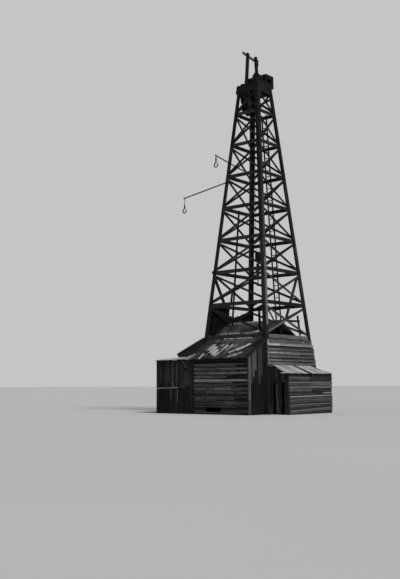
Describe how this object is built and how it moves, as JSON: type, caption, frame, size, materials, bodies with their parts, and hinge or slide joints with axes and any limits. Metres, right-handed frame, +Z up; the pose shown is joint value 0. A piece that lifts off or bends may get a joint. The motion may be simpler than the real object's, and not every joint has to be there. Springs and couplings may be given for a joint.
{
  "type": "oil drilling rig",
  "caption": "Tapered open timber derrick with a pulley-block crown and hung hooks, its foot boarded in as a gabled house with lean-to rooms.",
  "frame": {"origin": "ground level in the middle of the derrick, under its middle sill", "axes": "+Z up, the front with the lower roof faces -Y, the room with the pale roof is on +X"},
  "size_m": [9.6667, 8.1576, 24.5999],
  "materials": {
    "frame_timber": "weathered rough-sawn timber, dark",
    "wall_boards": "weathered bare boards",
    "roof_boards": "weathered bare boards",
    "sheet_roof": "pale new roof boards",
    "iron": "dark rusted iron",
    "wire_rope": "greased wire line"
  },
  "bodies": {
    "derrick": {"legs": "frame_timber", "side_front": "frame_timber", "side_right": "frame_timber", "side_back": "frame_timber", "side_left": "frame_timber", "crown_base": "frame_timber", "crown_beams": "frame_timber", "crown_pulleys": "iron", "gin_posts": "frame_timber", "gin_beam": "frame_timber", "ladder": "frame_timber", "pole_low": "frame_timber", "pole_high": "frame_timber", "hoist_lines": "wire_rope", "hoist_block": "iron", "standing_pipe": "iron", "strut_left": "frame_timber", "strut_right": "frame_timber", "floor_boards": "wall_boards", "floor_sills": "frame_timber", "siding_right": "wall_boards", "siding_left": "wall_boards", "siding_back": "wall_boards", "roof_upper_front": "roof_boards", "roof_upper_back": "roof_boards", "roof_frame": "frame_timber", "roof_lower": "roof_boards", "roof_post": "frame_timber", "front_wall": "wall_boards", "front_end": "wall_boards", "front_frame": "frame_timber", "right_wall": "wall_boards", "right_end_near": "wall_boards", "right_end_far": "wall_boards", "right_frame": "frame_timber", "right_roof": "sheet_roof", "left_roof": "roof_boards", "left_fascia": "wall_boards", "left_posts": "frame_timber", "annex_walls": "wall_boards", "annex_frame": "frame_timber", "annex_roof": "roof_boards", "hand_rail": "frame_timber"},
    "low_hook": {"hook_low": "iron"},
    "high_hook": {"hook_high": "iron"}
  },
  "joints": [
    {"name": "low_hook_swing", "type": "hinge", "parent": "derrick", "child": "low_hook", "pos_m": [-5.07675, -1.58212, 14.89614], "axis": [0.9893, 0.0143, 0.1449], "range_deg": [-60, 60]},
    {"name": "high_hook_swing", "type": "hinge", "parent": "derrick", "child": "high_hook", "pos_m": [-2.4227, -1.31931, 17.55599], "axis": [0.8472, -0.0522, -0.5288], "range_deg": [-60, 60]}
  ]
}
